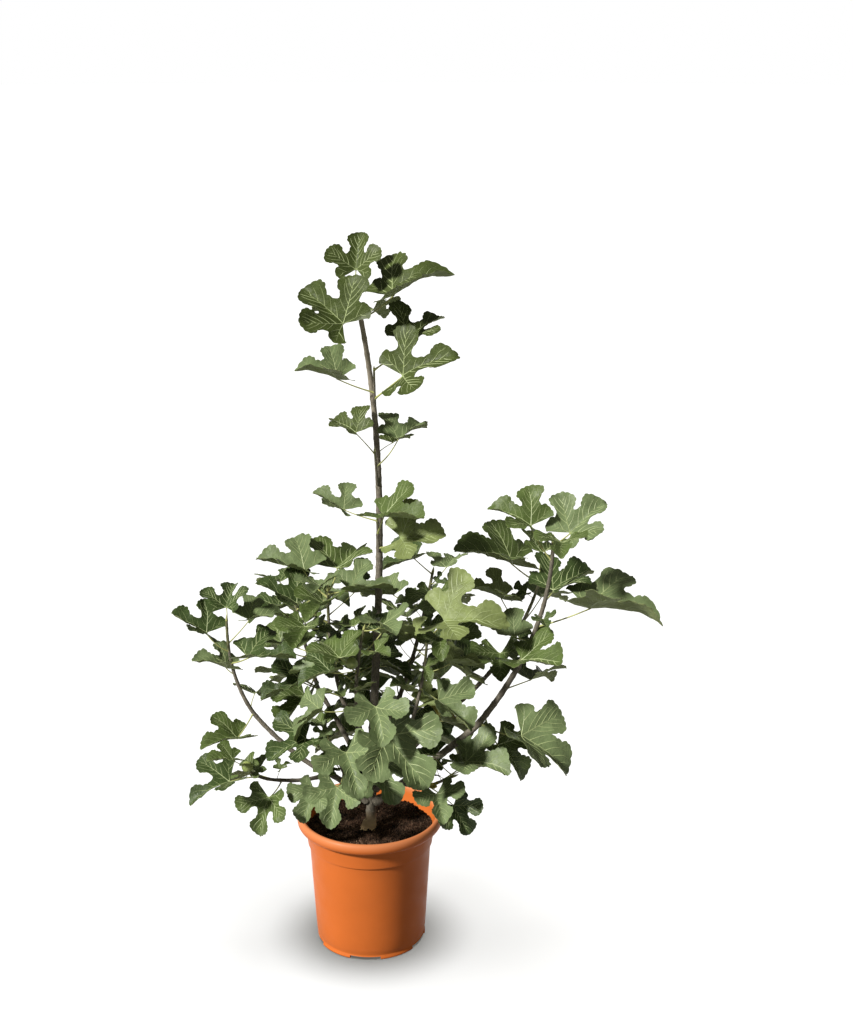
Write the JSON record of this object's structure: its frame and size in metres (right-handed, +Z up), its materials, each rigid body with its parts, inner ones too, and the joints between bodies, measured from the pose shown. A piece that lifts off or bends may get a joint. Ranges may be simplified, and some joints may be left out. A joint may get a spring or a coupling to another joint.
{
  "type": "potted fig tree",
  "caption": "Young fig tree with a straight leader and spreading boughs of lobed leaves, in a round rimmed nursery pot filled with soil.",
  "frame": {"origin": "centre of the pot's underside, on the ground", "axes": "+Z up along the pot's axis, -Y towards the front, +X to the right seen from the front"},
  "size_m": [0.9697, 0.5658, 1.4672],
  "materials": {
    "pot": "moulded terracotta-orange plastic, softly glossy",
    "soil": "dark damp peat soil with light fibres, matt",
    "bark": "smooth grey-brown bark with leaf scars and knuckles, matt",
    "foliage": "rough green lobed leaves with pale veins, paler undersides and yellow-green stalks"
  },
  "bodies": {
    "root": {"pot": "pot", "soil": "soil", "trunk": "bark", "left_bough": "bark", "left_rising_bough": "bark", "left_low_bough": "bark", "right_outer_bough": "bark", "right_inner_bough": "bark", "front_bough": "bark", "left_inner_bough": "bark", "back_left_bough": "bark", "back_right_bough": "bark", "centre_right_bough": "bark", "low_front_bough": "bark", "low_right_bough": "bark", "low_back_bough": "bark", "leader_top_leaves": "foliage", "leader_upper_leaves": "foliage", "leader_back_leaves": "foliage", "leader_middle_leaves": "foliage", "leader_lower_leaves": "foliage", "left_rising_leaves": "foliage", "left_low_leaves": "foliage", "right_outer_leaves": "foliage", "right_inner_leaves": "foliage", "front_leaves": "foliage", "left_inner_leaves": "foliage", "back_left_leaves": "foliage", "back_right_leaves": "foliage", "centre_right_leaves": "foliage", "low_front_leaves": "foliage", "low_right_leaves": "foliage", "low_back_leaves": "foliage"}
  },
  "joints": []
}
